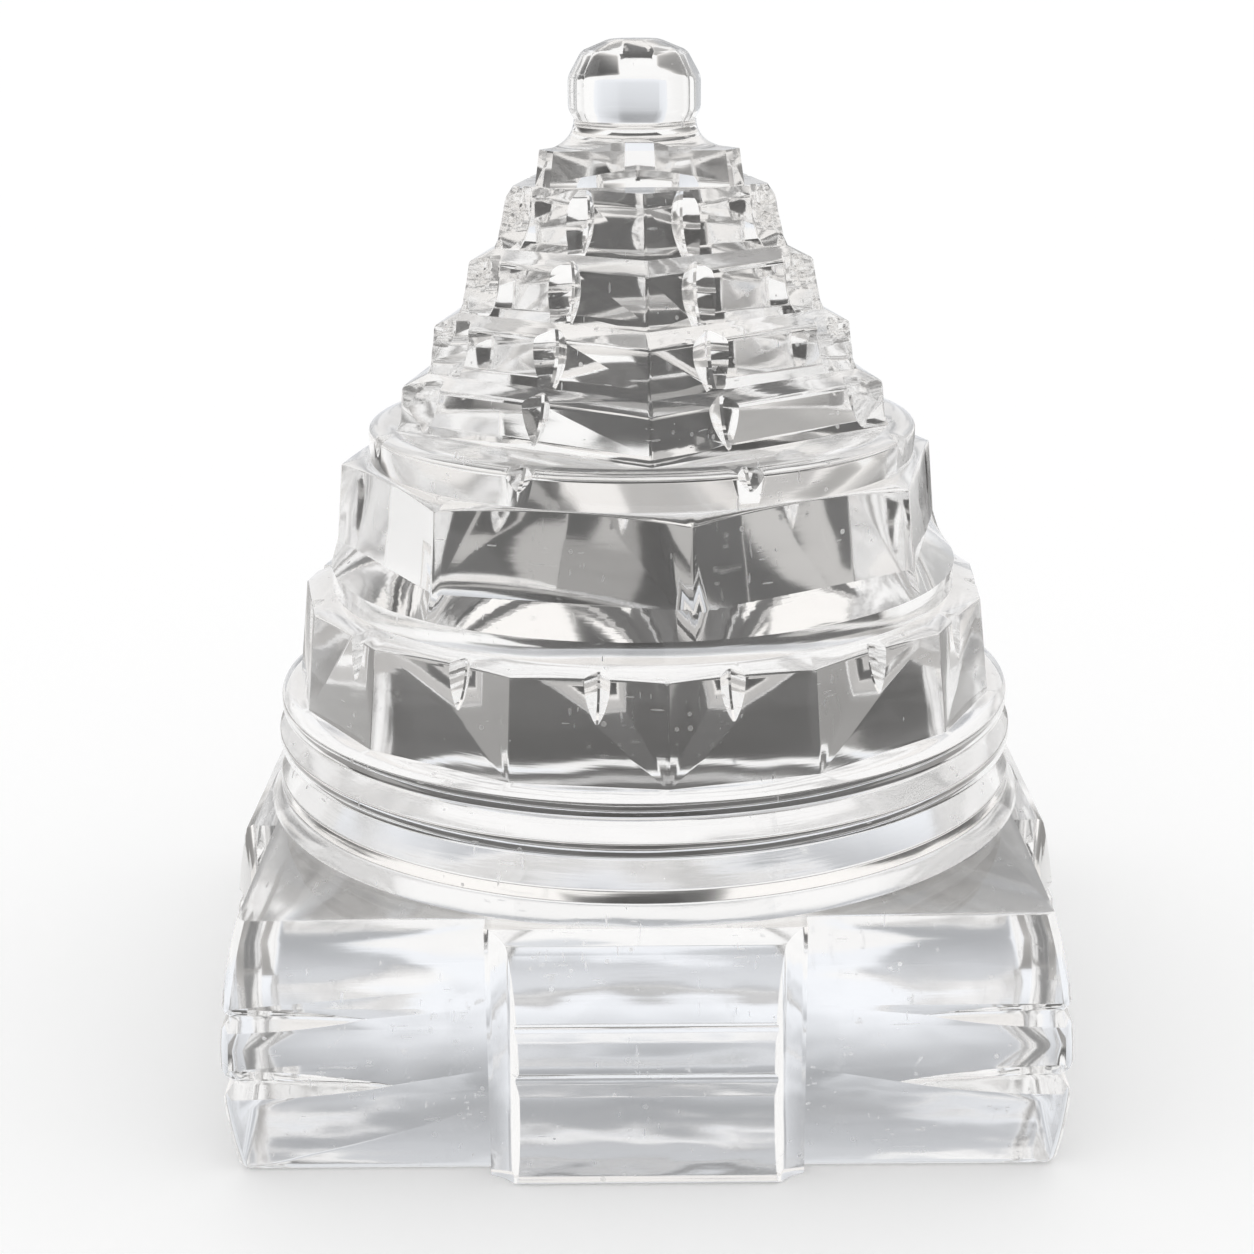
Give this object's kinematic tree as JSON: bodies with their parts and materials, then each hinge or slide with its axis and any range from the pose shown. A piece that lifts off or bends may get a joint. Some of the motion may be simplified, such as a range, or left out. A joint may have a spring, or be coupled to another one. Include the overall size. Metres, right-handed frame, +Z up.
{
  "type": "meru shri yantra",
  "caption": "Clear rock-crystal meru shri yantra: a stepped, faceted and notched cone on a square gated base, free-standing on its flat underside.",
  "frame": {"origin": "middle of the flat underside of the square base", "axes": "+Z up through the bindu, front gate towards -Y, +X to the right seen from the front"},
  "size_m": [0.0498, 0.0498, 0.0595],
  "materials": {
    "rock_crystal": "polished clear quartz with fine grinding marks"
  },
  "bodies": {
    "root": {"base_block": "rock_crystal", "gate_front": "rock_crystal", "gate_right": "rock_crystal", "gate_back": "rock_crystal", "gate_left": "rock_crystal", "lower_circle": "rock_crystal", "middle_circle": "rock_crystal", "upper_circle": "rock_crystal", "sixteen_petal_tier": "rock_crystal", "lotus_collar": "rock_crystal", "eight_petal_tier": "rock_crystal", "plinth_ring": "rock_crystal", "notched_tier_1": "rock_crystal", "notched_tier_2": "rock_crystal", "notched_tier_3": "rock_crystal", "notched_tier_4": "rock_crystal", "trikona": "rock_crystal", "bindu": "rock_crystal"}
  },
  "joints": []
}
